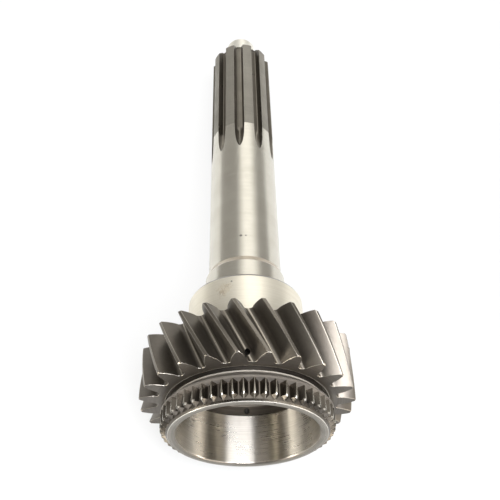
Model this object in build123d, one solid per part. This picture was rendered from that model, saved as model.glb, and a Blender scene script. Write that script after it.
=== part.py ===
from build123d import *
import math
import os

# A truck gearbox input shaft, one forging that is turned, hobbed, shaped, hardened and ground.
# It stands on the face at its bearing-bore end: that face is z = 0 and the shaft's axis is +Z.
# Azimuths are in degrees from the -Y side towards +X. Lengths are in millimetres.

# Whole shaft
total_length = 389.0

# Bearing pocket in the wide end
bore_radius = 43.5
bore_length = 33.4
bore_lead = 0.8
relief_depth = 1.0
relief_width = 8.6
relief_corner = 1.5
relief_radius = bore_radius + relief_depth
floor_center_radius = 4.0
floor_center_depth = 6.0

# Wide end face and its outer edge
end_edge_width = 1.1
end_edge_height = 1.2

# Clutch ring: straight pointed teeth that taper towards the gear
clutch_teeth = 54
clutch_wall = 5.7
clutch_tooth_depth = 3.7
clutch_root_radius = bore_radius + clutch_wall
clutch_tip_radius = clutch_root_radius + clutch_tooth_depth
clutch_phase = 4.56
clutch_ridge_outer = 2.9
clutch_rim_end = 13.6
clutch_rim_width = 1.1
clutch_gap_end = clutch_rim_end - clutch_rim_width
clutch_point_angle = 45.0
clutch_point_overlap = 0.05
clutch_land_front = 1.35
clutch_land_back = 0.55
clutch_floor_width = 0.8

# Neck behind the clutch ring: a 45 degree cone and a short straight edge
neck_wall = 4.0
neck_edge = 0.5
neck_radius = bore_radius + neck_wall
neck_top = clutch_rim_end + clutch_tip_radius - neck_radius

# Helical gear, left hand, with heights above and below the pitch circle in modules
gear_teeth = 24
gear_pressure_angle = 20.0
gear_helix_angle = 26.8
gear_addendum = 1.333
gear_dedendum = 1.222
gear_rim_wall = 10.5
gear_root_radius = relief_radius + gear_rim_wall
gear_pitch_modules = gear_teeth / (2 * math.cos(math.radians(gear_helix_angle)))
gear_module = gear_root_radius / (gear_pitch_modules - gear_dedendum)
gear_pitch_radius = gear_root_radius + gear_dedendum * gear_module
gear_tip_radius = gear_pitch_radius + gear_addendum * gear_module
gear_root_round = 1.3
gear_stand_off = 1.2
gear_front = neck_top + gear_stand_off
gear_width = 35.4
gear_back = gear_front + gear_width
gear_tip_chamfer = 0.7
gear_phase = 10.95
gear_flank_steps = 2
gear_stations = 3

# Groove turned in the gear's front face, round the neck
groove_width = 3.4
groove_depth = 4.0
groove_undercut = 0.6
groove_inner_radius = neck_radius - groove_undercut
groove_outer_radius = groove_inner_radius + groove_width

# Two oil holes, drilled on the slant from the gear's tooth gaps into the pocket's relief
oil_hole_radius = 1.6
oil_hole_slant = 45.0
oil_hole_set_back = 3.8
oil_hole_height = bore_length + oil_hole_set_back
oil_hole_azimuth = 0.6
oil_hole_count = 2

# Collar that carries the bearing
collar_radius = 38.6
collar_length = 37.7
collar_top = gear_back + collar_length
collar_lead_width = 1.0
collar_lead_height = 1.8

# Plain shaft, with the land that the oil seal runs on
shaft_radius = 25.4
land_step = 2.2
land_radius = shaft_radius + land_step
land_length = 19.6
land_top = collar_top + land_length
land_lead_height = 4.5

# Pilot spigot with the turning centre in its end
pilot_radius = 12.7
pilot_length = 25.7
pilot_chamfer = 1.5
pilot_corner = 1.0
center_mouth_radius = 4.2
center_drill_radius = 1.6
center_depth = 9.0
center_angle = 60.0

# Clutch spline, full depth up to the pilot's shoulder, with a hobbed run-out behind
spline_teeth = 10
spline_tooth_width = 7.9
spline_depth = 4.8
spline_root_radius = shaft_radius - spline_depth
spline_phase = 13.2
spline_length = 115.8
spline_end = total_length - pilot_length
spline_full_start = spline_end - spline_length
spline_end_chamfer = 3.0
hob_radius = 45.0
hob_nose = 0.6
hob_shoulder_width = 3.6
hob_shoulder_depth = 1.2

# Room that a cutting tool keeps outside the steel
clear = 1.0


def polar(radius, angle, z=0.0):
    """Point at a radius and an angle in degrees from +X, at height z."""
    return (radius * math.cos(math.radians(angle)), radius * math.sin(math.radians(angle)), z)


def turned(points):
    """Solid of revolution about the shaft's axis from an outline of (radius, z) points."""
    outline = Polyline(*[(r, 0, z) for r, z in points], close=True)
    return revolve(make_face(outline), Axis.Z)


def around(tool, count, azimuth):
    """Copies of a tool made on the +X side, spread evenly, the first at the given azimuth."""
    step = 360 / count
    return [Rot(0, 0, azimuth - 90 + step * i) * tool for i in range(count)]


# Turned blank

def blank():
    """Everything that is turned on the outside, before any teeth are cut."""
    end_radius = clutch_root_radius - end_edge_width
    chamfer = gear_tip_chamfer
    return turned([
        (0, 0),
        (end_radius, 0),
        (clutch_root_radius, end_edge_height),
        (clutch_tip_radius, end_edge_height),
        (clutch_tip_radius, clutch_rim_end),
        (neck_radius, neck_top),
        (groove_inner_radius, neck_top + neck_edge),
        (groove_inner_radius, gear_front + groove_depth),
        (groove_outer_radius, gear_front + groove_depth),
        (groove_outer_radius, gear_front),
        (gear_tip_radius - chamfer, gear_front),
        (gear_tip_radius, gear_front + chamfer),
        (gear_tip_radius, gear_back - chamfer),
        (gear_tip_radius - chamfer, gear_back),
        (collar_radius, gear_back),
        (collar_radius, collar_top - collar_lead_height),
        (collar_radius - collar_lead_width, collar_top),
        (land_radius, collar_top),
        (land_radius, land_top),
        (shaft_radius, land_top + land_lead_height),
        (shaft_radius, spline_end - spline_end_chamfer),
        (shaft_radius - spline_end_chamfer, spline_end),
        (pilot_radius + pilot_corner, spline_end),
        (pilot_radius, spline_end + pilot_corner),
        (pilot_radius, total_length - pilot_chamfer),
        (pilot_radius - pilot_chamfer, total_length),
        (0, total_length),
    ])


# Bearing pocket, its relief, the oil holes and the turning centres

def pocket():
    """Blind bore for the mainshaft bearing, with a lead-in, a relief and a centre in its floor."""
    floor = bore_length + relief_width
    lead = bore_lead + clear
    return turned([
        (0, -clear),
        (bore_radius + lead, -clear),
        (bore_radius, bore_lead),
        (bore_radius, bore_length),
        (relief_radius, bore_length + relief_depth),
        (relief_radius, floor - relief_corner),
        (relief_radius - relief_corner, floor),
        (floor_center_radius, floor),
        (0, floor + floor_center_depth),
    ])


def oil_holes():
    """Slanted drillings that run outwards and down from the relief, through the gear's roots."""
    reach = (gear_tip_radius - relief_radius) / math.sin(math.radians(oil_hole_slant))
    back_off = 2 * oil_hole_radius
    low_end = (Align.CENTER, Align.CENTER, Align.MIN)
    drill = Cylinder(oil_hole_radius, reach + back_off, align=low_end)
    start = Pos(relief_radius - back_off, 0, oil_hole_height + back_off)
    slanted = start * Rot(0, 180 - oil_hole_slant, 0) * drill
    return around(slanted, oil_hole_count, oil_hole_azimuth)


def pilot_center():
    """Turning centre in the end of the pilot: a cone with a drilled bottom."""
    cone_depth = (center_mouth_radius - center_drill_radius) / math.tan(math.radians(center_angle / 2))
    return turned([
        (0, total_length - center_depth),
        (center_drill_radius, total_length - center_depth + center_drill_radius),
        (center_drill_radius, total_length - cone_depth),
        (center_mouth_radius, total_length),
        (center_mouth_radius, total_length + clear),
        (0, total_length + clear),
    ])


# Helical gear

def involute(angle):
    """Involute function of an angle in radians."""
    return math.tan(angle) - angle


def gear_gap_half_angle(radius):
    """Half the angle of a tooth gap, in degrees, at a radius on the transverse section."""
    helix = math.radians(gear_helix_angle)
    pressure = math.atan(math.tan(math.radians(gear_pressure_angle)) / math.cos(helix))
    base_radius = gear_pitch_radius * math.cos(pressure)
    flank_radius = max(radius, base_radius)
    here = math.acos(base_radius / flank_radius)
    tooth = math.pi / (2 * gear_teeth) + involute(pressure) - involute(here)
    return math.degrees(math.pi / gear_teeth - tooth)


def gear_gap_section():
    """Closed transverse section of one tooth gap with a round root, centred on +X."""
    round_top = gear_root_radius + gear_root_round
    outer = gear_tip_radius + clear
    step = (outer - round_top) / gear_flank_steps
    radii = [round_top + step * i for i in range(gear_flank_steps + 1)]
    right = [polar(r, -gear_gap_half_angle(r)) for r in radii]
    left = [polar(r, gear_gap_half_angle(r)) for r in radii]
    edges = [
        ThreePointArc(*right),
        ThreePointArc(right[0], (gear_root_radius, 0, 0), left[0]),
        ThreePointArc(*left),
        Line(left[-1], right[-1]),
    ]
    return make_face(edges)


def gear_gaps():
    """The left-hand helical gaps between the gear's teeth."""
    length = gear_width + 2 * clear
    turn_per_mm = math.degrees(math.tan(math.radians(gear_helix_angle)) / gear_pitch_radius)
    step = length / (gear_stations - 1)
    section = gear_gap_section()
    stations = []
    for i in range(gear_stations):
        turn = -turn_per_mm * step * i
        stations.append(Pos(0, 0, step * i) * Rot(0, 0, turn) * section)
    left_handed = Pos(0, 0, gear_front - clear) * loft(stations, ruled=True)
    gap_azimuth = gear_phase + 180 / gear_teeth + turn_per_mm * clear
    return around(left_handed, gear_teeth, gap_azimuth)


# Clutch ring

def clutch_gap_section(z, land_width):
    """Closed section of one clutch tooth gap on +X at height z, for a given tip land."""
    outer = clutch_tip_radius + clear
    half_pitch = math.pi * clutch_tip_radius / clutch_teeth
    half_top = half_pitch - land_width / 2
    half_floor = clutch_floor_width / 2
    slope = (half_top - half_floor) / (clutch_tip_radius - clutch_root_radius)
    half_outer = half_top + slope * clear
    corners = [
        (clutch_root_radius, -half_floor, z),
        (outer, -half_outer, z),
        (outer, half_outer, z),
        (clutch_root_radius, half_floor, z),
    ]
    return make_face(Polyline(*corners, close=True))


def clutch_gap():
    """One gap between two clutch teeth, wider at the back, so that each tooth has back taper."""
    length = clutch_gap_end - clutch_ridge_outer
    growth = (clutch_land_front - clutch_land_back) / length
    land_at_end = clutch_land_front + growth * clutch_ridge_outer
    front = clutch_gap_section(0, land_at_end)
    back = clutch_gap_section(clutch_gap_end, clutch_land_back)
    return loft([front, back], ruled=True)


def clutch_point_section(radius, ridge):
    """Section across the radius of the notch that points two neighbouring teeth."""
    half = radius * math.tan(math.pi / clutch_teeth) + clutch_point_overlap
    apex = ridge + half / math.tan(math.radians(clutch_point_angle))
    corners = [
        (radius, -half, -clear),
        (radius, half, -clear),
        (radius, half, ridge),
        (radius, 0, apex),
        (radius, -half, ridge),
    ]
    return make_face(Polyline(*corners, close=True))


def clutch_point():
    """The notch between two teeth that leaves each with a roof-shaped, raked point."""
    rake = (clutch_ridge_outer - end_edge_height) / (clutch_tip_radius - clutch_root_radius)
    outer = clutch_tip_radius + clear
    inner_face = clutch_point_section(clutch_root_radius, end_edge_height)
    outer_face = clutch_point_section(outer, clutch_ridge_outer + rake * clear)
    return loft([inner_face, outer_face], ruled=True)


def clutch_gaps():
    """All the tools that cut the clutch teeth."""
    gap_azimuth = clutch_phase + 180 / clutch_teeth
    gaps = around(clutch_gap(), clutch_teeth, gap_azimuth)
    return gaps + around(clutch_point(), clutch_teeth, gap_azimuth)


# Spline

def spline_gap_half_angle(radius):
    """Half the angle of a spline groove, in degrees, whose sides are parallel to its teeth."""
    return 180 / spline_teeth - math.degrees(math.asin(spline_tooth_width / 2 / radius))


def spline_groove_section(z):
    """Closed full-depth section of one spline groove, centred on +X."""
    outer = shaft_radius + clear
    root_angle = spline_gap_half_angle(spline_root_radius)
    outer_angle = spline_gap_half_angle(outer)
    floor_right = polar(spline_root_radius, -root_angle, z)
    floor_left = polar(spline_root_radius, root_angle, z)
    top_right = polar(outer, -outer_angle, z)
    top_left = polar(outer, outer_angle, z)
    edges = [
        Line(top_right, floor_right),
        ThreePointArc(floor_right, (spline_root_radius, 0, z), floor_left),
        Line(floor_left, top_left),
        Line(top_left, top_right),
    ]
    return make_face(edges)


def spline_runout():
    """Where the hob leaves the shaft: a boat-shaped cut that ends in a point."""
    depth = shaft_radius - spline_root_radius
    half_top = shaft_radius * math.sin(math.radians(spline_gap_half_angle(shaft_radius)))
    bulge = shaft_radius - math.sqrt(shaft_radius ** 2 - half_top ** 2)
    shoulder = hob_radius - hob_shoulder_depth
    edge = hob_radius - depth - bulge
    nose = [
        (hob_radius, -hob_nose / 2),
        (hob_radius, hob_nose / 2),
        (shoulder, hob_shoulder_width / 2),
        (edge, half_top),
        (edge - clear, half_top),
        (edge - clear, -half_top),
        (edge, -half_top),
        (shoulder, -hob_shoulder_width / 2),
    ]
    outline = Polyline(*[(-r, y, 0) for r, y in nose], close=True)
    disc = revolve(make_face(outline), Axis.Y)
    return Pos(spline_root_radius + hob_radius, 0, spline_full_start) * disc


def spline_grooves():
    """The grooves between the spline's teeth, with their run-outs."""
    length = spline_end - spline_full_start + clear
    groove = extrude(spline_groove_section(spline_full_start), length, dir=(0, 0, 1))
    groove_azimuth = spline_phase + 180 / spline_teeth
    straight = around(groove, spline_teeth, groove_azimuth)
    return straight + around(spline_runout(), spline_teeth, groove_azimuth)


def input_shaft():
    """The finished shaft as one solid."""
    shaft = blank() - pocket() - pilot_center()
    shaft = shaft - gear_gaps()
    shaft = shaft - clutch_gaps()
    shaft = shaft - spline_grooves()
    return shaft - oil_holes()


os.makedirs("parts", exist_ok=True)
export_step(input_shaft(), "parts/input_shaft.step")
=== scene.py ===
"""Looks of a gearbox input shaft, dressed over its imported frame.

The shaft stands on the face at its bearing-pocket end and its axis is +Z. Azimuths run from the -Y side
towards +X. Sizes are in millimetres and degrees here, and become metres where a mesh is made.
"""

import logging
import math
from dataclasses import dataclass, field
from enum import Enum

import bmesh
import bpy
from mathutils import Matrix, Vector

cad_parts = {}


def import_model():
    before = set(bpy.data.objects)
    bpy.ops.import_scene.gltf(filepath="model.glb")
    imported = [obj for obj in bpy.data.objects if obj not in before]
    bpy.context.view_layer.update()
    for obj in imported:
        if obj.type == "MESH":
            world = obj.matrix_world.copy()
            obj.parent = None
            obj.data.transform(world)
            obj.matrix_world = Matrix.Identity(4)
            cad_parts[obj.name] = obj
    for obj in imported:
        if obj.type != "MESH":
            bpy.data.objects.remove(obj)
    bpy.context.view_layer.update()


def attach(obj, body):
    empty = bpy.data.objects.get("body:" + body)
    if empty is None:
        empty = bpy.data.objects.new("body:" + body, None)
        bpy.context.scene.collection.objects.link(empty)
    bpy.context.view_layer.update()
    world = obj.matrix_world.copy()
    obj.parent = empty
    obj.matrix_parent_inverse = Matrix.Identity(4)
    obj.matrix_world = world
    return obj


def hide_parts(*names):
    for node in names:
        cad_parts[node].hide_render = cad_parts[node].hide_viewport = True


log = logging.getLogger("input_shaft")

MM = 0.001
PER_METRE = 1000.0
WELD = 2e-6
SHARP_ANGLE = 34.0
FULL_TURN = 360.0
UNCAPPED = 1e3
LONGEST_EASE = 0.4

Point = tuple[float, float, float]
Flat = tuple[float, float]
Colour = tuple[float, float, float]
Socket = bpy.types.NodeSocket


class Finish(Enum):
    """How a surface of the steel was left by its last operation. Some finishes also carry painted shade or
    a painted highlight in their colour, as noted at each.
    """

    POCKET_FLOOR = "pocket_floor"
    # Painted shade: the relief, the neck's groove and the band beside its mouth are dark in colour for the
    # shade in these recesses.
    RELIEF = "turned_relief"
    POCKET = "ground_pocket"
    # Painted shade: the turned end face is darkened in colour for the shaded table it reflects.
    END_FACE = "turned_end_face"
    # Painted highlight: the end face's edge is pale and half metallic for the bright line of light along
    # it.
    END_RIM = "turned_end_rim"
    END_EDGE = "worn_end_edge"
    CLUTCH_POINT = "clutch_point"
    CLUTCH_TOOTH = "clutch_tooth"
    CLUTCH_LAND = "clutch_land"
    # Painted highlight: the rounded corner of each clutch tooth is pale and glossy for the spot of light
    # on it.
    CLUTCH_SPOT = "clutch_worn_corner"
    CLUTCH_FLOOR = "clutch_floor"
    NECK = "turned_neck"
    # Painted highlight: the neck's edges are pale and half metallic for the bright line of light along
    # them.
    NECK_EDGE = "worn_neck_edge"
    GROOVE = "turned_groove"
    GEAR_FACE = "turned_gear_face"
    GEAR_FLANK = "gear_flank"
    # Painted highlight: the gear's roots are pale in colour for the strip of light along each root.
    GEAR_ROOT = "gear_root"
    GEAR_LAND = "gear_land"
    # Painted highlight: the gear's broken edges are lighter in colour for the lines of light along them.
    GEAR_EDGE = "gear_edge"
    COLLAR = "ground_collar"
    SHOULDER = "turned_shoulder"
    STEP = "tan_step"
    SHAFT = "ground_shaft"
    SPLINE_LAND = "dull_spline_land"
    SPLINE_SIDE = "spline_side"
    SPLINE_FLOOR = "spline_floor"
    PILOT = "ground_pilot"
    # Painted shade: the walls of the oil holes and the turning centre's drill are near black for the shade
    # inside them.
    OIL_HOLE = "oil_hole"


FINISHES = list(Finish)
Corner = tuple[Finish, float, float]


class Marks(Enum):
    """Which way the tool's marks run on a surface."""

    ROUND = "round"
    RINGS = "rings"
    ALONG = "along"
    GRAIN = "grain"


def in_space(point: Point) -> Vector:
    """Turns a point given by radius, azimuth and height into metres.

    Args:
        point: Radius in mm, azimuth in degrees from -Y towards +X, height in mm.

    Returns:
        The point in the row frame.
    """
    radius, azimuth, z = point
    turn = math.radians(azimuth)
    return Vector((radius * math.sin(turn), -radius * math.cos(turn), z)) * MM


def between(a: float, b: float, share: float) -> float:
    """Goes part of the way from one number to another.

    Args:
        a: Start.
        b: End.
        share: How much of the way.

    Returns:
        The number there.
    """
    return a + (b - a) * share


def eased(path: list[Flat], ease: float, steps: int = 3) -> list[Flat]:
    """Rounds the inner corners of an outline a little, as a deburred edge is.

    Args:
        path: Corners of the outline as (radius, z).
        ease: How far from each corner the rounding starts.
        steps: Pieces that each rounding has.

    Returns:
        The outline with its corners rounded.
    """
    out = [path[0]]
    for before, corner, after in zip(path, path[1:], path[2:]):
        ends = []
        for other in (before, after):
            gap = math.dist(corner, other)
            share = min(ease, gap * LONGEST_EASE) / gap
            ends.append((between(corner[0], other[0], share), between(corner[1], other[1], share)))
        for i in range(steps + 1):
            t = i / steps
            radius, z = (
                (1 - t) ** 2 * ends[0][k] + 2 * t * (1 - t) * corner[k] + t**2 * ends[1][k] for k in (0, 1)
            )
            out.append((radius, z))
    out.append(path[-1])
    return out


def mirrored(half: list[Point], pitch: float) -> list[Point]:
    """Completes a row of points over one pitch from its first half.

    Args:
        half: Points from one edge of the pitch to its middle, azimuths measured from that edge.
        pitch: Angle of the whole pitch.

    Returns:
        The whole row, with its azimuths rising from 0 to the pitch.
    """
    return half + [(r, pitch - a, z) for r, a, z in reversed(half[:-1])]


def across(*runs: tuple[Finish, int]) -> list[Finish]:
    """Gives the finish of each face across a pitch.

    Args:
        runs: Finishes of the pitch's first half, each with its number of faces.

    Returns:
        One finish for each face, the second half like the first.
    """
    half = [finish for finish, count in runs for _ in range(count)]
    return half + half[::-1]


def placed(name: str, data: bpy.types.ID) -> bpy.types.Object:
    """Makes an object and links it to the scene.

    Args:
        name: Its name.
        data: Its mesh or camera.

    Returns:
        The object.
    """
    made = bpy.data.objects.new(name, data)
    bpy.context.scene.collection.objects.link(made)
    return made


def as_mesh(shape: bmesh.types.BMesh, name: str) -> bpy.types.Mesh:
    """Writes an edited shape to a new mesh and frees it.

    Args:
        shape: The shape.
        name: Name of the mesh.

    Returns:
        The mesh.
    """
    mesh = bpy.data.meshes.new(name)
    shape.to_mesh(mesh)
    shape.free()
    return mesh


def plain_mesh(carrier: bpy.types.Object, name: str) -> bpy.types.Mesh:
    """Evaluates an object with its modifiers into a mesh of its own.

    Args:
        carrier: The object.
        name: Name of the mesh.

    Returns:
        The mesh.
    """
    graph = bpy.context.evaluated_depsgraph_get()
    graph.update()
    mesh = bpy.data.meshes.new_from_object(carrier.evaluated_get(graph), depsgraph=graph)
    mesh.name = name
    return mesh


class Wiring:
    """Adds nodes to a tree, with their inputs set or linked."""

    def __init__(self, tree: bpy.types.NodeTree) -> None:
        """Takes the tree.

        Args:
            tree: Tree that the nodes go into.
        """
        self.tree = tree

    def feed(self, node: bpy.types.Node, inputs: dict[str | int, object]) -> None:
        """Sets or links some inputs of a node.

        Args:
            node: The node.
            inputs: A socket to link or a value to set, for each input by its name or number.
        """
        for key, value in inputs.items():
            if isinstance(value, Socket):
                self.tree.links.new(value, node.inputs[key])
            else:
                node.inputs[key].default_value = value

    def add(
        self, kind: str, inputs: dict[str | int, object] | None = None, **settings: object
    ) -> bpy.types.Node:
        """Adds a node.

        Args:
            kind: The program's name for the node.
            inputs: A socket to link or a value to set, for each input by its name or number.
            settings: Values of the node's own properties.

        Returns:
            The node.
        """
        node = self.tree.nodes.new(kind)
        for name, value in settings.items():
            setattr(node, name, value)
        self.feed(node, inputs or {})
        return node

    def math(self, operation: str, *values: Socket | float, clamp: bool = False) -> Socket:
        """Adds a sum on numbers.

        Args:
            operation: What is done.
            values: Its inputs in order.
            clamp: Whether the result is held between 0 and 1.

        Returns:
            The result.
        """
        inputs = dict(enumerate(values))
        return self.add("ShaderNodeMath", inputs, operation=operation, use_clamp=clamp).outputs[0]

    def vector(self, operation: str, *values: Socket | Point, result: str = "Vector") -> Socket:
        """Adds a sum on vectors.

        Args:
            operation: What is done.
            values: Its inputs in order.
            result: Which output is wanted, Vector or Value.

        Returns:
            The result.
        """
        inputs = dict(enumerate(values))
        return self.add("ShaderNodeVectorMath", inputs, operation=operation).outputs[result]

    def ramp(self, value: Socket, old: Flat, new: Flat, kind: str = "LINEAR") -> Socket:
        """Maps a range of a value onto another, and holds it at the ends.

        Args:
            value: The value.
            old: Ends of its range.
            new: What the ends become.
            kind: How the way between them runs.

        Returns:
            The new value.
        """
        inputs = {"Value": value, "From Min": old[0], "From Max": old[1]}
        inputs |= {"To Min": new[0], "To Max": new[1]}
        return self.add("ShaderNodeMapRange", inputs, interpolation_type=kind).outputs["Result"]

    def noise(self, place: Socket, scale: float, detail: float) -> Socket:
        """Adds a noise pattern.

        Args:
            place: Vector that it reads.
            scale: How fine it is.
            detail: How many finer layers it has.

        Returns:
            Its value.
        """
        inputs = {"Vector": place, "Scale": scale, "Detail": detail}
        return self.add("ShaderNodeTexNoise", inputs).outputs["Fac"]

    def blend(self, share: Socket, first: Socket | tuple, second: Socket | tuple) -> Socket:
        """Blends two colours.

        Args:
            share: Share of the second.
            first: First colour.
            second: Second colour.

        Returns:
            The blended colour.
        """
        inputs = {"Factor": share, "A": first, "B": second}
        return self.add("ShaderNodeMix", inputs, data_type="RGBA").outputs["Result"]

    def mix(self, share: Socket, first: Socket, second: Socket) -> Socket:
        """Mixes two shaders.

        Args:
            share: Share of the second.
            first: First shader.
            second: Second shader.

        Returns:
            The mixed shader.
        """
        return self.add("ShaderNodeMixShader", {0: share, 1: first, 2: second}).outputs[0]


@dataclass
class Band:
    """A sector of the shaft's skin that is repeated round the axis.

    Rows run from the pocket's floor out and up to the pilot's end, and the points of a row run over one
    pitch with rising azimuth, so that every face points out of the steel.
    """

    name: str
    sectors: int
    rows: list[list[Point]] = field(default_factory=list)
    finishes: list[list[Finish]] = field(default_factory=list)

    def add(self, row: list[Point], finish: Finish | list[Finish] | None = None) -> None:
        """Adds a row, and the finish of the strip between it and the row before.

        Args:
            row: Points over one pitch.
            finish: One finish, or one for each face of the strip. The first row has none.
        """
        if self.rows:
            faces = len(row) - 1
            self.finishes.append(finish if isinstance(finish, list) else [finish] * faces)
        self.rows.append(row)

    def ring(self, index: int) -> list[Point]:
        """Gives a row as it runs all the way round.

        Args:
            index: Which row.

        Returns:
            The points of the ring, each once.
        """
        pitch = FULL_TURN / self.sectors
        row = self.rows[index][:-1]
        return [(r, a + pitch * i, z) for i in range(self.sectors) for r, a, z in row]

    def sector_mesh(self) -> bpy.types.Mesh:
        """Builds the mesh of one sector.

        Returns:
            The mesh, with each face's finish as an attribute.
        """
        shape = bmesh.new()
        layer = shape.faces.layers.int.new("finish")
        grid = [[shape.verts.new(in_space(p)) for p in row] for row in self.rows]
        for low, high, strip in zip(grid, grid[1:], self.finishes):
            for i, finish in enumerate(strip):
                face = shape.faces.new((low[i], low[i + 1], high[i + 1], high[i]))
                face[layer] = FINISHES.index(finish)
        return as_mesh(shape, self.name)


class SectorTree:
    """Geometry Nodes that repeat a sector round the shaft's axis and weld the joins."""

    def __init__(self, material: bpy.types.Material) -> None:
        """Builds the tree.

        Args:
            material: What the tree's Set Material gives before the finishes are told apart.
        """
        self.tree = bpy.data.node_groups.new("repeat_round_axis", "GeometryNodeTree")
        sockets = self.tree.interface
        sockets.new_socket("Geometry", in_out="INPUT", socket_type="NodeSocketGeometry")
        count = sockets.new_socket("Sectors", in_out="INPUT", socket_type="NodeSocketInt")
        weld = sockets.new_socket("Weld distance", in_out="INPUT", socket_type="NodeSocketFloat")
        sockets.new_socket("Geometry", in_out="OUTPUT", socket_type="NodeSocketGeometry")
        self.count_id = count.identifier
        self.weld_id = weld.identifier
        net = Wiring(self.tree)
        given = net.add("NodeGroupInput").outputs
        points = net.add("GeometryNodeMeshLine", {"Offset": (0, 0, 0), "Count": given["Sectors"]})
        index = net.add("GeometryNodeInputIndex").outputs[0]
        turn = net.math("MULTIPLY", index, net.math("DIVIDE", math.tau, given["Sectors"]))
        about = net.add("ShaderNodeCombineXYZ", {"Z": turn}).outputs[0]
        copies = {"Points": points.outputs["Mesh"], "Instance": given["Geometry"], "Rotation": about}
        spread = net.add("GeometryNodeInstanceOnPoints", copies)
        real = net.add("GeometryNodeRealizeInstances", {0: spread.outputs[0]}).outputs[0]
        joins = {"Geometry": real, "Distance": given["Weld distance"]}
        merge = net.add("GeometryNodeMergeByDistance", joins).outputs[0]
        dress = net.add("GeometryNodeSetMaterial", {"Material": material, "Geometry": merge})
        net.add("NodeGroupOutput", {0: dress.outputs[0]})

    def round_mesh(self, band: Band) -> bpy.types.Mesh:
        """Repeats a band's sector and returns the result as a plain mesh.

        Args:
            band: The band.

        Returns:
            The mesh of the whole band.
        """
        mesh = band.sector_mesh()
        carrier = placed(band.name, mesh)
        repeat = carrier.modifiers.new("repeat", "NODES")
        repeat.node_group = self.tree
        repeat[self.count_id] = band.sectors
        repeat[self.weld_id] = WELD
        whole = plain_mesh(carrier, band.name + "_round")
        carrier.modifiers.remove(repeat)
        bpy.data.objects.remove(carrier)
        bpy.data.meshes.remove(mesh)
        return whole


@dataclass
class Join:
    """A flat ring of faces between two bands that have different numbers of points."""

    lower: list[Point]
    upper: list[Point]
    finish: Finish

    def add_to(self, shape: bmesh.types.BMesh, layer: bmesh.types.BMLayerItem) -> None:
        """Adds the faces to a mesh.

        Args:
            shape: The mesh that is being put together.
            layer: Its layer of finishes.
        """
        rings = []
        for ring in (self.lower, self.upper):
            ordered = sorted((a % FULL_TURN, r, z) for r, a, z in ring)
            rings.append([(a, shape.verts.new(in_space((r, a, z)))) for a, r, z in ordered])
        low, high = rings
        i = j = 0
        while i < len(low) or j < len(high):
            next_low = low[(i + 1) % len(low)][0] + FULL_TURN * ((i + 1) // len(low))
            next_high = high[(j + 1) % len(high)][0] + FULL_TURN * ((j + 1) // len(high))
            here_low, here_high = low[i % len(low)][1], high[j % len(high)][1]
            if j >= len(high) or (i < len(low) and next_low <= next_high):
                i += 1
                corners = (here_low, low[i % len(low)][1], here_high)
            else:
                j += 1
                corners = (here_low, high[j % len(high)][1], here_high)
            face = shape.faces.new(corners)
            face[layer] = FINISHES.index(self.finish)


@dataclass
class Turned:
    """A round stretch of the shaft, made from its outline."""

    name: str = "turned"
    sectors: int = 240
    phase: float = 13.2
    ease: float = 0.2

    def corners(self) -> list[Corner]:
        """Gives the corners of the outline.

        Returns:
            Corners, each with the finish of the stretch that ends there.
        """
        raise NotImplementedError

    def band(self) -> Band:
        """Builds the band of revolution.

        Returns:
            The band, with its corners eased.
        """
        corners = self.corners()
        band = Band(self.name, self.sectors)
        path = eased([(radius, z) for _, radius, z in corners], self.ease)
        steps = (len(path) - 2) // (len(corners) - 2)
        end = self.phase + FULL_TURN / self.sectors
        for i, (radius, z) in enumerate(path):
            owner = corners[min((i + steps - 1) // steps, len(corners) - 1)][0]
            band.add([(radius, self.phase, z), (radius, end, z)], owner)
        return band


@dataclass
class BearingPocket(Turned):
    """Blind bore for the mainshaft bearing, with its relief, and the wide end face round it."""

    name: str = "bearing_pocket"
    sectors: int = 216
    phase: float = 0.0
    ease: float = 0.16
    radius: float = 43.5
    length: float = 33.4
    lead: float = 0.8
    relief_radius: float = 44.5
    floor: float = 42.0
    relief_corner: float = 1.5
    center_radius: float = 4.0
    center_depth: float = 6.0
    face_break: float = 45.9
    face_radius: float = 47.85

    def corners(self) -> list[Corner]:
        """Runs from the middle of the pocket's floor out to the end face.

        Returns:
            Corners, each with the finish of the stretch that ends there.
        """
        return [
            (Finish.POCKET_FLOOR, 0, self.floor + self.center_depth),
            (Finish.POCKET_FLOOR, self.center_radius, self.floor),
            (Finish.POCKET_FLOOR, self.relief_radius - self.relief_corner, self.floor),
            (Finish.RELIEF, self.relief_radius, self.floor - self.relief_corner),
            (Finish.RELIEF, self.relief_radius, self.length + self.relief_radius - self.radius),
            (Finish.RELIEF, self.radius, self.length),
            (Finish.POCKET, self.radius, self.lead),
            (Finish.CLUTCH_FLOOR, self.radius + self.lead, 0),
            (Finish.END_FACE, self.face_break, 0),
            (Finish.END_RIM, self.face_radius, 0),
        ]


@dataclass
class Groove:
    """Groove turned in the gear's front face, round the neck."""

    inner: float = 46.9
    outer: float = 50.3
    floor: float = 24.2
    corner: float = 0.2
    flat: float = 0.6


@dataclass
class Toothed:
    """Teeth at an even pitch round the axis."""

    teeth: int
    phase: float

    @property
    def pitch(self) -> float:
        """Angle of one tooth and one gap."""
        return FULL_TURN / self.teeth


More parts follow.
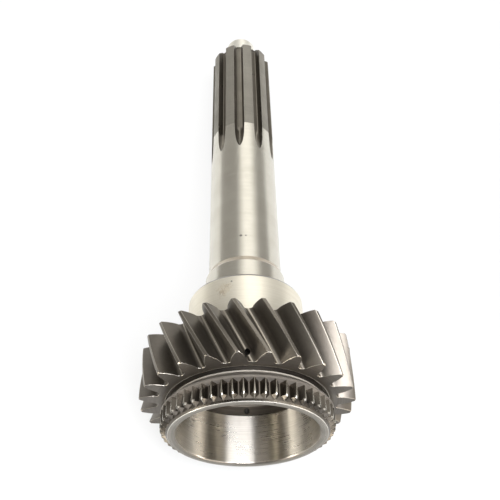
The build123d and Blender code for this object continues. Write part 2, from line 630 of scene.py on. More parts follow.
@dataclass
class ClutchRing(Toothed):
    """Straight pointed clutch teeth with back taper, and the neck behind them."""

    teeth: int = 54
    phase: float = 4.56
    tip_radius: float = 52.9
    root_radius: float = 49.2
    face_radius: float = 47.85
    edge_radius: float = 48.1
    edge_lift: float = 0.3
    edge_height: float = 1.2
    ridge_outer: float = 2.9
    ridge_blunt: float = 0.18
    root_lift: float = 0.01
    land_front: float = 1.2
    land_back: float = 0.16
    floor_width: float = 0.7
    floor_share: float = 0.72
    flank_shares: tuple[float, ...] = (0.08, 0.36, 0.68)
    brow_share: float = 0.97
    land_share: float = 0.62
    stations: tuple[float, ...] = (6.6, 9.0)
    gap_end: float = 11.4
    gap_top: float = 12.4
    rim_start: float = 12.48
    rim_turn: float = 12.6
    rim_end: float = 13.6
    rim_round: float = 0.12
    neck_radius: float = 47.8
    neck_start: float = 18.4
    neck_blend: float = 0.3
    neck_fillet: float = 0.08
    neck_land: float = 0.7
    mouth: tuple[Flat, ...] = ((0.75, 0.1), (0.1, 0.25), (0.0, 0.5), (0.0, 1.3))
    edge: float = 0.07
    bevel_depth: float = 0.5
    bevel_height: float = 0.95
    bevel_corner: float = 0.14
    groove: Groove = field(default_factory=Groove)

    def land(self, z: float) -> float:
        """Gives the width of a tooth's tip.

        Args:
            z: Height.

        Returns:
            Width there.
        """
        share = (z - self.ridge_outer) / (self.gap_end - self.ridge_outer)
        return between(self.land_front, self.land_back, min(max(share, 0.0), 1.0))

    def half_section(self, z: float) -> list[Flat]:
        """Gives half a gap and half a tooth as (radius, azimuth from the middle of the gap).

        Args:
            z: Height, which sets the tip's width.

        Returns:
            Points from the middle of the gap to the middle of the tooth.
        """
        floor = math.degrees(self.floor_width / 2 / self.root_radius)
        side = self.pitch / 2 - math.degrees(self.land(z) / 2 / self.tip_radius)
        brow = self.tip_radius - self.edge
        shares = self.flank_shares
        flank = [(between(self.root_radius, brow, s), between(floor, side, s)) for s in shares]
        return [
            (self.root_radius, 0.0),
            (self.root_radius, floor * self.floor_share),
            *flank,
            (brow, between(floor, side, self.brow_share)),
            (self.tip_radius, side + math.degrees(self.edge / self.tip_radius)),
            (self.tip_radius, between(side, self.pitch / 2, self.land_share)),
            (self.tip_radius, self.pitch / 2),
        ]

    def point_height(self, radius: float, azimuth: float) -> float:
        """Gives the height of the pointed front of a tooth.

        Args:
            radius: Radius of the point.
            azimuth: Its azimuth from the middle of the gap.

        Returns:
            Height of the roof-shaped point there, whose ridge is raked.
        """
        share = (radius - self.root_radius) / (self.tip_radius - self.root_radius)
        off = radius * math.radians(self.pitch / 2 - azimuth)
        rise = math.hypot(off, self.ridge_blunt) - self.ridge_blunt
        return between(self.edge_height, self.ridge_outer, share) + rise

    def row(self, half: list[Flat], heights: list[float]) -> list[Point]:
        """Makes a whole row.

        Args:
            half: Half a section.
            heights: Height of each of its points.

        Returns:
            The row over one pitch.
        """
        points = [(r, a, z) for (r, a), z in zip(half, heights)]
        start = self.phase - self.pitch / 2
        return [(r, a + start, z) for r, a, z in mirrored(points, self.pitch)]

    def circle(self, azimuths: list[float], radius: float, z: float) -> list[Point]:
        """Makes a row on a plain circle.

        Args:
            azimuths: Azimuths of half the row.
            radius: Radius of the circle.
            z: Its height.

        Returns:
            The row over one pitch.
        """
        return self.row([(radius, a) for a in azimuths], [z] * len(azimuths))

    def band(self) -> Band:
        """Builds the ring from the end face's edge to the floor of the groove.

        Returns:
            The band.
        """
        band = Band("clutch_ring", self.teeth)
        front = self.half_section(self.ridge_outer)
        azimuths = [a for _, a in front]
        band.add(self.circle(azimuths, self.face_radius, 0.0))
        band.add(self.circle(azimuths, self.edge_radius, self.edge_lift), Finish.END_EDGE)
        band.add(self.circle(azimuths, self.root_radius, self.edge_height), Finish.CLUTCH_TOOTH)
        base = [self.point_height(self.root_radius, a) + self.root_lift for a in azimuths]
        band.add(self.row([(self.root_radius, a) for a in azimuths], base), Finish.CLUTCH_FLOOR)
        tooth = across((Finish.CLUTCH_FLOOR, 2), (Finish.CLUTCH_TOOTH, 3), (Finish.CLUTCH_LAND, 3))
        point = across((Finish.CLUTCH_FLOOR, 2), (Finish.CLUTCH_POINT, 5), (Finish.CLUTCH_LAND, 1))
        # Rows of the rounded corner that take the painted highlight's finish.
        spot = across((Finish.CLUTCH_FLOOR, 2), (Finish.CLUTCH_TOOTH, 2), (Finish.CLUTCH_SPOT, 4))
        strips = [point, tooth, tooth, spot, spot, tooth, tooth, tooth]
        for (limit, rise), finish in zip(self.bevel(), strips, strict=True):
            rounded = [(min(r, limit), a) for r, a in front]
            band.add(self.row(rounded, [self.point_height(r, a) + rise for r, a in rounded]), finish)
        for z in self.stations:
            band.add(self.row(self.half_section(z), [z] * len(front)), tooth)
        end = self.half_section(self.gap_end)
        depth = self.tip_radius - self.root_radius
        slope = [between(self.gap_end, self.gap_top, (r - self.root_radius) / depth) for r, _ in end]
        band.add(self.row(end, slope), tooth)
        band.add(self.circle([a for _, a in end], self.tip_radius, self.rim_start), Finish.NECK)
        even = [self.pitch / 2 * i / (len(end) - 1) for i in range(len(end))]
        for finish, radius, z in self.neck_path():
            band.add(self.circle(even, radius, z), finish)
        return band

    def bevel(self) -> list[Flat]:
        """Gives the rounded corner between a tooth's point and its tip, part of which carries a painted
        highlight.

        Returns:
            Largest radius and rise above the point, for each row.
        """
        inner = self.tip_radius - self.bevel_depth
        corners = [
            (inner - self.bevel_corner, 0.0),
            (inner, 0.0),
            (self.tip_radius, self.bevel_height),
            (self.tip_radius, self.bevel_height + self.bevel_corner),
        ]
        return eased(corners, self.bevel_corner / 2, 2)

    def neck_path(self) -> list[Corner]:
        """Gives the turned outline from the rim to the groove's floor.

        Returns:
            Corners, each with the finish of the stretch that ends there.
        """
        groove, land_end = self.groove, self.neck_start + self.neck_land
        mouth = [(groove.inner + out, land_end + rise) for out, rise in self.mouth]
        return [
            (Finish.NECK, self.tip_radius, self.rim_turn),
            (Finish.NECK, self.tip_radius, self.rim_end - self.rim_round),
            (Finish.NECK_EDGE, self.tip_radius - self.rim_round, self.rim_end + self.rim_round / 2),
            (Finish.NECK, self.neck_radius + self.neck_blend, self.neck_start - 2 * self.neck_blend),
            (Finish.NECK, self.neck_radius + self.neck_fillet, self.neck_start - self.neck_blend),
            (Finish.NECK_EDGE, self.neck_radius, self.neck_start),
            (Finish.NECK_EDGE, self.neck_radius, land_end),
            (Finish.NECK_EDGE, *mouth[0]),
            *((Finish.RELIEF, *corner) for corner in mouth[1:]),
            (Finish.GROOVE, groove.inner, groove.floor - groove.corner),
            (Finish.GROOVE, groove.inner + groove.corner, groove.floor),
            (Finish.RELIEF, groove.inner + groove.flat, groove.floor),
        ]


@dataclass
class HelicalGear(Toothed):
    """Left-hand helical gear with round roots, involute flanks and broken edges."""

    teeth: int = 24
    phase: float = 10.95
    module: float = 4.5
    pressure_angle: float = 20.0
    helix_angle: float = 26.8
    tip_radius: float = 66.498
    tip_round: float = 0.22
    tip_edge: float = 0.16
    root_radius: float = 55.0
    root_round: float = 1.3
    root_points: int = 5
    flank_points: int = 8
    front: float = 20.2
    back: float = 55.6
    back_radius: float = 40.4
    mouth_round: float = 0.14
    mouth_edge: float = 0.5
    mouth_band: float = 2.4
    tip_chamfer: float = 0.5
    edge: float = 0.13
    turns: int = 13
    groove: Groove = field(default_factory=Groove)

    @property
    def pitch_radius(self) -> float:
        """Radius on which the teeth roll."""
        return self.module * self.teeth / (2 * math.cos(math.radians(self.helix_angle)))

    def gap_angle(self, radius: float) -> float:
        """Gives half the angle of a gap, from the involute.

        Args:
            radius: Radius at which it is measured.

        Returns:
            The angle.
        """
        helix = math.radians(self.helix_angle)
        pressure = math.atan(math.tan(math.radians(self.pressure_angle)) / math.cos(helix))
        base = self.pitch_radius * math.cos(pressure)
        here = math.acos(base / max(radius, base))
        half_tooth = math.pi / (2 * self.teeth)
        half_tooth += math.tan(pressure) - pressure - math.tan(here) + here
        return math.degrees(math.pi / self.teeth - half_tooth)

    def half_section(self) -> list[Flat]:
        """Gives half a gap and half a tooth.

        Returns:
            Points as (radius, azimuth from the middle of the gap).
        """
        top = self.root_radius + self.root_round
        half_chord = top * math.sin(math.radians(self.gap_angle(top)))
        sag = top * math.cos(math.radians(self.gap_angle(top))) - self.root_radius
        bend = (half_chord**2 + sag**2) / (2 * sag)
        points = []
        for i in range(self.root_points):
            y = half_chord * i / self.root_points
            x = self.root_radius + bend - math.sqrt(bend**2 - y**2)
            points.append((math.hypot(x, y), math.degrees(math.atan2(y, x))))
        brow = self.tip_radius - self.tip_round
        for i in range(self.flank_points):
            radius = between(top, brow, i / (self.flank_points - 1))
            points.append((radius, self.gap_angle(radius)))
        land = self.gap_angle(self.tip_radius) + math.degrees(self.tip_edge / self.tip_radius)
        points.append((self.tip_radius, land))
        points.append((self.tip_radius, self.pitch / 2))
        return points

    def row(self, z: float, inset: float = 0.0, cap: float = UNCAPPED) -> list[Point]:
        """Makes the row at a height.

        Args:
            z: Height.
            inset: How far the outline is drawn into the tooth, for a broken edge.
            cap: Largest radius, for the chamfer on the tips.

        Returns:
            The row, turned to its place on the helix.
        """
        turn = math.degrees(math.tan(math.radians(self.helix_angle)) / self.pitch_radius)
        start = self.phase - self.pitch / 2 - turn * (z - self.front)
        whole = mirrored([(r, a, z) for r, a in self.half_section()], self.pitch)
        if inset:
            whole = self.inset(whole, inset)
        return [(min(r, cap), a + start, height) for r, a, height in whole]

    def inset(self, row: list[Point], depth: float) -> list[Point]:
        """Draws a row's outline into the steel.

        Args:
            row: The row.
            depth: How far, the same all over.

        Returns:
            The row of the drawn outline.
        """
        (last, last_turn, z), (first, first_turn, _) = row[-2], row[1]
        polar = [(last, last_turn - self.pitch, z), *row, (first, first_turn + self.pitch, z)]
        line = [(r * math.cos(math.radians(a)), r * math.sin(math.radians(a))) for r, a, _ in polar]
        out = []
        for (x0, y0), (x, y), (x1, y1), (_, _, z) in zip(line, line[1:], line[2:], row):
            length = math.hypot(x1 - x0, y1 - y0)
            px, py = x - (y1 - y0) / length * depth, y + (x1 - x0) / length * depth
            out.append((math.hypot(px, py), math.degrees(math.atan2(py, px)), z))
        return out

    def band(self) -> Band:
        """Builds the gear from the groove's floor to the flat behind the teeth.

        Returns:
            The band.
        """
        band = Band("helical_gear", self.teeth)
        azimuths = [a for _, a, _ in self.row(self.front)]
        groove = self.groove
        for finish, radius, z in (
            (Finish.RELIEF, groove.outer - groove.flat, groove.floor),
            (Finish.RELIEF, groove.outer - groove.corner, groove.floor),
            (Finish.RELIEF, groove.outer, groove.floor - groove.corner),
            (Finish.RELIEF, groove.outer, self.front + self.mouth_edge),
            (Finish.NECK_EDGE, groove.outer + self.mouth_round, self.front + self.mouth_round),
            (Finish.NECK_EDGE, groove.outer + self.mouth_edge, self.front),
            (Finish.RELIEF, groove.outer + self.mouth_band, self.front),
        ):
            band.add([(radius, a, z) for a in azimuths], finish)
        cap = self.tip_radius - self.tip_chamfer
        band.add(self.row(self.front, self.edge, cap), Finish.GEAR_FACE)
        band.add(self.row(self.front + self.edge, 0.0, cap + self.edge), Finish.GEAR_EDGE)
        sides = (Finish.GEAR_FLANK, self.root_points + self.flank_points - 2)
        faces = across((Finish.GEAR_ROOT, 1), sides, (Finish.GEAR_EDGE, 1), (Finish.GEAR_LAND, 1))
        length = self.back - self.front - 2 * self.tip_chamfer
        for i in range(self.turns + 1):
            band.add(self.row(self.front + self.tip_chamfer + length * i / self.turns), faces)
        band.add(self.row(self.back - self.edge, 0.0, cap + self.edge), faces)
        band.add(self.row(self.back, self.edge, cap), Finish.GEAR_EDGE)
        behind = [(self.back_radius, a, z) for _, a, z in self.row(self.back)]
        band.add(behind, Finish.GEAR_FACE)
        return band


@dataclass
class BearingCollar(Turned):
    """Ground collar, the step above it, the seal land and the plain shaft up to the spline."""

    name: str = "bearing_collar"
    ease: float = 0.22
    gear_back: float = 55.6
    foot: float = 1.2
    radius: float = 38.6
    top: float = 93.3
    lead_width: float = 1.0
    lead_height: float = 1.8
    land_radius: float = 27.6
    land_corner: float = 0.5
    land_top: float = 112.9
    land_lead: float = 4.5
    shaft_radius: float = 25.4
    shaft_top: float = 150.0

    def corners(self) -> list[Corner]:
        """Runs from the gear's back to the plain shaft.

        Returns:
            Corners, each with the finish of the stretch that ends there.
        """
        return [
            (Finish.GEAR_FACE, self.radius + self.foot, self.gear_back),
            (Finish.GEAR_FACE, self.radius, self.gear_back),
            (Finish.COLLAR, self.radius, self.top - self.lead_height),
            (Finish.SHOULDER, self.radius - self.lead_width, self.top),
            (Finish.SHOULDER, self.land_radius + self.land_corner, self.top),
            (Finish.SHOULDER, self.land_radius, self.top + self.land_corner),
            (Finish.SHAFT, self.land_radius, self.land_top),
            (Finish.STEP, self.shaft_radius, self.land_top + self.land_lead),
            (Finish.SHAFT, self.shaft_radius, self.shaft_top),
        ]


@dataclass
class ClutchSpline(Toothed):
    """Ten straight-sided teeth with hobbed run-outs, cut in the shaft."""

    teeth: int = 10
    phase: float = 13.2
    columns: int = 24
    land_columns: int = 4
    radius: float = 25.4
    root_radius: float = 20.6
    root_round: float = 0.45
    floor_lead: float = 0.4
    floor_widths: tuple[float, ...] = (1.2, 0.6, 0.0)
    side_shares: tuple[float, ...] = (0.35, 0.7)
    tooth_width: float = 7.9
    start: float = 150.0
    plain_rows: int = 5
    full_start: float = 247.5
    blend_length: float = 6.0
    blend_steps: tuple[float, ...] = (0.0, 2.0, 4.0, 6.0)
    finish_line: float = 254.2
    dull_rows: int = 3
    end: float = 363.3
    end_chamfer: float = 3.0
    end_corners: tuple[Flat, ...] = ((0.18, 0.12), (2.82, 2.82), (3.0, 3.06))
    corner_radius: float = 13.7
    hob_radius: float = 45.0
    hob_steps: tuple[float, ...] = (0.25, 0.8, 1.8, 3.2, 5.0, 7.5, 10.5, 14.0, 17.0)
    nose_depth: float = 0.414
    nose_power: float = 1.81
    widest_mark: float = 1.2
    halvings: int = 40

    def beside(self, radius: float) -> Flat:
        """Gives the point of the groove's side at a radius.

        Args:
            radius: The radius.

        Returns:
            The point as (depth axis, half width).
        """
        turn = math.radians(self.pitch / 2) - math.asin(self.tooth_width / 2 / radius)
        return (radius * math.cos(turn), radius * math.sin(turn))

    def straight_section(self) -> list[Flat]:
        """Gives half the full groove.

        Returns:
            Points as (depth axis, half width) from its edge to its middle.
        """
        low = self.root_radius + self.root_round
        sides = [self.beside(between(self.radius, low, share)) for share in self.side_shares]
        widths = (self.beside(self.root_radius)[1] - self.floor_lead, *self.floor_widths)
        floor = [(math.sqrt(self.root_radius**2 - y**2), y) for y in widths]
        return [self.beside(self.radius), *sides, self.beside(low), *floor]

    def hobbed_section(self, z: float) -> list[Flat]:
        """Gives half the run-out's section.

        Args:
            z: Height below the full-depth groove, above the first touch of the cutter.

        Returns:
            Points from the edge of the mark to its middle.
        """
        away = self.full_start - z

        def floor(y: float) -> float:
            """Gives the depth axis of the mark.

            Args:
                y: Half width.

            Returns:
                The depth axis there.
            """
            reach = self.hob_radius - self.nose_depth * y**self.nose_power
            return self.root_radius + self.hob_radius - math.sqrt(max(reach**2 - away**2, 0.0))

        half_width = self.beside(self.radius)[1]
        low, high = 0.0, half_width * self.widest_mark
        for _ in range(self.halvings):
            middle = (low + high) / 2
            if math.hypot(floor(middle), middle) < self.radius:
                low = middle
            else:
                high = middle
        widths = [min(low * y / half_width, low) for _, y in self.straight_section()]
        return [(floor(y), y) for y in widths]

    def blended(self, rise: float) -> list[Flat]:
        """Gives the section where the hob's curved mark becomes the straight groove.

        Args:
            rise: Height above the end of the hob's mark.

        Returns:
            Points from the edge of the groove to its middle.
        """
        share = rise / self.blend_length
        curved, straight = self.hobbed_section(self.full_start), self.straight_section()
        return [
            (between(a[0], b[0], share), between(a[1], b[1], share)) for a, b in zip(curved, straight)
        ]

    def row(
        self, z: float, groove: list[Flat] | None, cap: float = UNCAPPED, even: float = 0.0
    ) -> list[Point]:
        """Makes the row at a height.

        Args:
            z: Height.
            groove: Half the groove's section from edge to middle, or None for the plain shaft.
            cap: Largest radius, for the chamfer on the teeth's ends.
            even: Share of an even spacing, which plain rows have.

        Returns:
            The row over one pitch, from the middle of a tooth to the middle of the next.
        """
        half = self.pitch / 2
        cut = groove or [(self.radius, 0.0)] * (self.columns // 2 - self.land_columns)
        edge_turn = half - math.degrees(math.atan2(cut[0][1], cut[0][0]))
        points = [(self.radius, edge_turn * i / self.land_columns) for i in range(self.land_columns)]
        points += [(math.hypot(x, y), half - math.degrees(math.atan2(y, x))) for x, y in cut]
        points.append((points[-1][0], half))
        spaced = []
        for i, (radius, azimuth) in enumerate(points):
            plain = half * i / (len(points) - 1)
            spaced.append((min(radius, cap), between(azimuth, plain, even), z))
        return [(r, a + self.phase, height) for r, a, height in mirrored(spaced, self.pitch)]

    def faces(self, top: Finish) -> list[Finish]:
        """Gives the finish of each face across a pitch.

        Args:
            top: Finish of the tooth tops.

        Returns:
            One finish for each face.
        """
        sides = len(self.side_shares) + 1
        floor = self.columns // 2 - self.land_columns - sides
        return across((top, self.land_columns), (Finish.SPLINE_SIDE, sides), (Finish.SPLINE_FLOOR, floor))

    def band(self) -> Band:
        """Builds the spline from the plain shaft to the pilot's shoulder.

        Returns:
            The band.
        """
        band = Band("clutch_spline", self.teeth)
        band.add(self.row(self.start, None, even=1.0))
        above = self.hob_radius - self.radius + self.root_radius
        touch = self.full_start - math.sqrt(self.hob_radius**2 - above**2)
        for i in range(1, self.plain_rows + 1):
            share = i / self.plain_rows
            band.add(self.row(between(self.start, touch, share), None, even=1 - share**2), Finish.SHAFT)
        bright, dull = self.faces(Finish.SHAFT), self.faces(Finish.SPLINE_LAND)
        for step in self.hob_steps:
            band.add(self.row(touch + step, self.hobbed_section(touch + step)), bright)
        for step in self.blend_steps:
            band.add(self.row(self.full_start + step, self.blended(step)), bright)
        straight = self.straight_section()
        band.add(self.row(self.finish_line, straight), bright)
        chamfer = self.end - self.end_chamfer
        for i in range(1, self.dull_rows + 1):
            band.add(self.row(between(self.finish_line, chamfer, i / self.dull_rows), straight), dull)
        for rise, drop in self.end_corners:
            band.add(self.row(chamfer + rise, straight, cap=self.radius - drop), Finish.SPLINE_SIDE)
        band.add(self.row(self.end, None, cap=self.corner_radius, even=1.0), Finish.SPLINE_SIDE)
        return band


@dataclass
class Pilot(Turned):
    """Ground spigot that runs in the flywheel's bearing, with the turning centre in its end."""

    name: str = "pilot"
    ease: float = 0.3
    radius: float = 12.7
    start: float = 363.3
    corner: float = 1.0
    end: float = 389.0
    chamfer: float = 1.5
    mouth_radius: float = 4.2
    mouth_angle: float = 60.0
    drill_radius: float = 1.6
    drill_top: float = 381.6
    drill_bottom: float = 380.0

    def corners(self) -> list[Corner]:
        """Runs from the pilot's foot to the bottom of the turning centre.

        Returns:
            Corners, each with the finish of the stretch that ends there.
        """
        cone = (self.mouth_radius - self.drill_radius) / math.tan(math.radians(self.mouth_angle / 2))
        return [
            (Finish.SPLINE_SIDE, self.radius + self.corner, self.start),
            (Finish.PILOT, self.radius, self.start + self.corner),
            (Finish.PILOT, self.radius, self.end - self.chamfer),
            (Finish.PILOT, self.radius - self.chamfer, self.end),
            (Finish.SPLINE_LAND, self.mouth_radius, self.end),
            (Finish.PILOT, self.drill_radius, self.end - cone),
            # The drill's bottom takes the oil hole finish, whose near-black colour is painted shade.
            (Finish.OIL_HOLE, self.drill_radius, self.drill_top),
            (Finish.OIL_HOLE, 0, self.drill_bottom),
        ]


@dataclass
class OilHoles:
    """Slanted drillings from the gear's gaps into the pocket's relief."""

    count: int = 2
    azimuth: float = 0.6
    radius: float = 1.6
    slant: float = 45.0
    mouth_radius: float = 44.5
    height: float = 37.2
    reach: float = 30.0
    back_off: float = 3.2
    sides: int = 28

    def cutter(self) -> bpy.types.Object:
        """Builds the drills for the cut.

        Returns:
            All of them as one object.
        """
        shape = bmesh.new()
        for i in range(self.count):
            turn = Matrix.Rotation(math.radians(self.azimuth + FULL_TURN / self.count * i), 4, "Z")
            start = Vector((0, -(self.mouth_radius - self.back_off), self.height + self.back_off)) * MM
            tilt = Matrix.Rotation(math.radians(FULL_TURN / 2 - self.slant), 4, "X")
            middle = Matrix.Translation((0, 0, self.reach / 2 * MM))
            bmesh.ops.create_cone(
                shape,
                cap_ends=True,
                segments=self.sides,
                radius1=self.radius * MM,
                radius2=self.radius * MM,
                depth=self.reach * MM,
                matrix=turn @ Matrix.Translation(start) @ tilt @ middle,
            )
        # The drills' walls take the oil hole finish, whose near-black colour is painted shade inside the
        # holes.
        for face in shape.faces:
            face.material_index = FINISHES.index(Finish.OIL_HOLE)
        return placed("oil_hole_drills", as_mesh(shape, "oil_hole_drills"))


NOISE_RANGE = (0.3, 0.7)
SUM_RANGE = (0.75, 1.25)
NOISE_DETAIL = 3.0
RAG_DETAIL = 4.0
RAG_SCALE = 2400.0
RAG_CORE = 0.55
SPOT_DULLNESS = 0.25
ALONG_SCALE = 12.0
ACROSS_THE_LINES = 0.25


@dataclass(frozen=True)
class Spot:
    """A stain, a nick or a patch of painted shade at one place on a surface."""

    radius: float
    azimuth: float
    z: float
    size: float
    colour: Colour
    strength: float
    ragged: float = 0.6

    def laid_over(self, net: Wiring, place: Socket, tint: Socket, gloss: Socket) -> tuple[Socket, Socket]:
        """Lays the stain, nick or painted shade over the colour and the roughness.

        Args:
            net: The material's nodes.
            place: Object coordinates.
            tint: Colour so far.
            gloss: Roughness so far.

        Returns:
            The new colour and roughness.
        """
        size, reach = self.size * MM, self.size * self.ragged * MM
        gap = net.vector("DISTANCE", place, in_space((self.radius, self.azimuth, self.z)), result="Value")
        rag = net.noise(place, RAG_SCALE / self.size, RAG_DETAIL)
        far = net.math("ADD", gap, net.ramp(rag, NOISE_RANGE, (-reach, reach)))
        share = net.ramp(far, (size * RAG_CORE, size), (self.strength, 0.0))
        dulled = net.math("MULTIPLY_ADD", share, SPOT_DULLNESS, gloss)
        return net.blend(share, tint, (*self.colour, 1)), dulled


@dataclass(frozen=True)
class SteelFinish:
    """Colour, gloss and tool marks of one finish."""

    finish: Finish
    colour: Colour
    worn: Colour
    roughness: float
    spread: float
    marks: Marks
    mark_pitch: float
    mark_depth: float
    blotch: float = 14.0
    brushed: float = 0.0
    metallic: float = 1.0
    spots: tuple[Spot, ...] = ()

    def material(self) -> bpy.types.Material:
        """Builds the material.

        Returns:
            The material, which reads Object coordinates.
        """
        made = bpy.data.materials.new(self.finish.value)
        made.use_nodes = True
        net = Wiring(made.node_tree)
        shader = made.node_tree.nodes["Principled BSDF"]
        place = net.add("ShaderNodeTexCoord").outputs["Object"]
        lines = net.noise(self.line_space(net, place), 1.0, NOISE_DETAIL)
        clouds = net.noise(place, PER_METRE / self.blotch, NOISE_DETAIL)
        share = net.ramp(net.math("ADD", clouds, lines), SUM_RANGE, (0.0, 1.0))
        tint = net.blend(share, (*self.colour, 1), (*self.worn, 1))
        streak = net.ramp(lines, NOISE_RANGE, (-self.spread, self.spread))
        base = net.ramp(clouds, NOISE_RANGE, (self.roughness - self.spread, self.roughness + self.spread))
        gloss = net.math("ADD", streak, base, clamp=True)
        for spot in self.spots:
            tint, gloss = spot.laid_over(net, place, tint, gloss)
        relief = {"Distance": self.mark_depth * MM, "Strength": 1.0, "Height": lines}
        bump = net.add("ShaderNodeBump", relief).outputs[0]
        looks = {"Metallic": self.metallic, "Base Color": tint, "Roughness": gloss, "Normal": bump}
        net.feed(shader, looks)
        if self.brushed:
            lay = net.add("ShaderNodeTangent", direction_type="RADIAL", axis="Z").outputs[0]
            turn = {"Anisotropic": self.brushed, "Anisotropic Rotation": ACROSS_THE_LINES, "Tangent": lay}
            net.feed(shader, turn)
        return made

    def line_space(self, net: Wiring, place: Socket) -> Socket:
        """Stretches the pattern's space so that it turns into lines the way the tool ran.

        Args:
            net: The material's nodes.
            place: Object coordinates.

        Returns:
            The vector that the line pattern reads.
        """
        fine, slow = PER_METRE / self.mark_pitch, ALONG_SCALE
        scales = {
            Marks.ROUND: (slow, slow, fine),
            Marks.ALONG: (fine, fine, slow),
            Marks.GRAIN: (fine, fine, fine),
            Marks.RINGS: (slow, slow, slow),
        }
        stretched = net.vector("MULTIPLY", place, scales[self.marks])
        if self.marks is not Marks.RINGS:
            return stretched
        far = net.vector("LENGTH", net.vector("MULTIPLY", place, (fine, fine, 0)), result="Value")
        return net.vector("ADD", stretched, net.add("ShaderNodeCombineXYZ", {"Z": far}).outputs[0])


BROWN = (0.16, 0.10, 0.05)
BLACK = (0.02, 0.018, 0.016)

